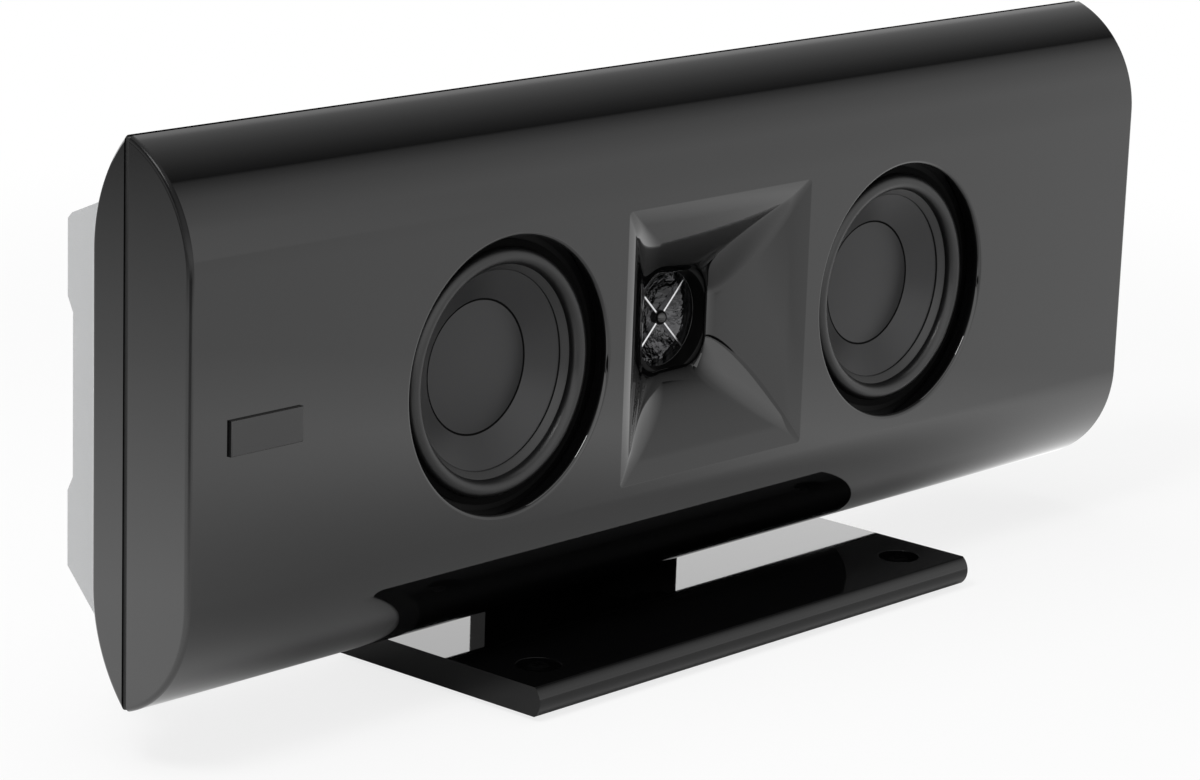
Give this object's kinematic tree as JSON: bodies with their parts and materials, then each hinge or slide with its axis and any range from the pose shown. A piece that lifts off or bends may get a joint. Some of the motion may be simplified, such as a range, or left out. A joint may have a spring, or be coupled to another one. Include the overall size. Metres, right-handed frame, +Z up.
{
  "type": "flat panel speaker",
  "caption": "Low, wide home loudspeaker: lens-section gloss cabinet, woofers beside a square horn, a back box with binding posts and wall keyholes, on an L-shaped table stand.",
  "frame": {"origin": "on the table under the middle of the whole width and depth", "axes": "+X to the listener's right, +Y to the back, +Z up; the front faces -Y"},
  "size_m": [0.4, 0.0844, 0.1646],
  "materials": {
    "gloss_black": "high gloss moulding",
    "name_plate": "satin blank plate",
    "grey_box": "fine matt moulding",
    "joint_seal": "matt foam",
    "surround_rubber": "satin",
    "cone_metal": "dark spun metal",
    "coil": "wound wire on foil",
    "spider_cloth": "stiffened cloth",
    "frame_paint": "matt paint",
    "magnet": "sintered",
    "plated_steel": "zinc plated",
    "bright_metal": "bright",
    "black_screw": "blackened",
    "cup_plastic": "matt",
    "post_brass": "plated",
    "red_cap": "gloss",
    "black_cap": "gloss",
    "board": "lacquered laminate",
    "winding": "enamelled wire",
    "capacitor": "sleeved",
    "stand_gloss": "gloss paint",
    "foot_rubber": "matt"
  },
  "bodies": {
    "cabinet": {"front_shell": "gloss_black", "rear_shell": "gloss_black", "badge_plate": "name_plate", "back_box": "grey_box", "joint_gasket": "joint_seal", "woofer_surround_left": "surround_rubber", "woofer_surround_right": "surround_rubber", "woofer_spider_left": "spider_cloth", "woofer_spider_right": "spider_cloth", "woofer_frame_left": "frame_paint", "woofer_frame_right": "frame_paint", "horn_driver_plate": "frame_paint", "horn_driver_cap": "frame_paint", "woofer_magnet_left": "magnet", "woofer_magnet_right": "magnet", "horn_magnet": "magnet", "woofer_top_plate_left": "plated_steel", "woofer_top_plate_right": "plated_steel", "woofer_yoke_left": "plated_steel", "woofer_yoke_right": "plated_steel", "hanger_plate_left": "plated_steel", "hanger_plate_right": "plated_steel", "horn_phase_plug": "bright_metal", "horn_dome": "bright_metal", "case_screws": "black_screw", "box_screws": "black_screw", "woofer_screws_left": "black_screw", "woofer_screws_right": "black_screw", "horn_screws": "black_screw", "cup_screws": "black_screw", "board_screws": "black_screw", "foot_screws": "black_screw", "upright_screws": "black_screw", "bracket_screws": "black_screw", "terminal_cup": "cup_plastic", "terminal_post_plus": "post_brass", "terminal_post_minus": "post_brass", "crossover_board": "board", "crossover_inductors": "winding", "crossover_capacitors": "capacitor", "stand_base": "stand_gloss", "stand_upright": "stand_gloss", "stand_feet": "foot_rubber"},
    "cone_left": {"woofer_cone_left": "cone_metal", "woofer_dust_cap_left": "cone_metal", "woofer_coil_left": "coil"},
    "cone_right": {"woofer_cone_right": "cone_metal", "woofer_dust_cap_right": "cone_metal", "woofer_coil_right": "coil"},
    "cap_plus": {"terminal_cap_plus": "red_cap"},
    "cap_minus": {"terminal_cap_minus": "black_cap"}
  },
  "joints": [
    {"name": "cone_left_slide", "type": "slide", "parent": "cabinet", "child": "cone_left", "axis": [0, -1, 0], "range_m": [-0.003, 0.003], "stiffness_N_per_m": 1000, "deforming": ["woofer_surround_left", "woofer_spider_left"]},
    {"name": "cone_right_slide", "type": "slide", "parent": "cabinet", "child": "cone_right", "axis": [0, -1, 0], "range_m": [-0.003, 0.003], "stiffness_N_per_m": 1000, "deforming": ["woofer_surround_right", "woofer_spider_right"]},
    {"name": "cap_plus_turn", "type": "hinge", "parent": "cabinet", "child": "cap_plus", "pos_m": [0.1405, 0.0335, 0.0899], "axis": [0, 1, 0], "continuous": true},
    {"name": "cap_minus_turn", "type": "hinge", "parent": "cabinet", "child": "cap_minus", "pos_m": [0.1595, 0.0335, 0.0899], "axis": [0, 1, 0], "continuous": true}
  ]
}
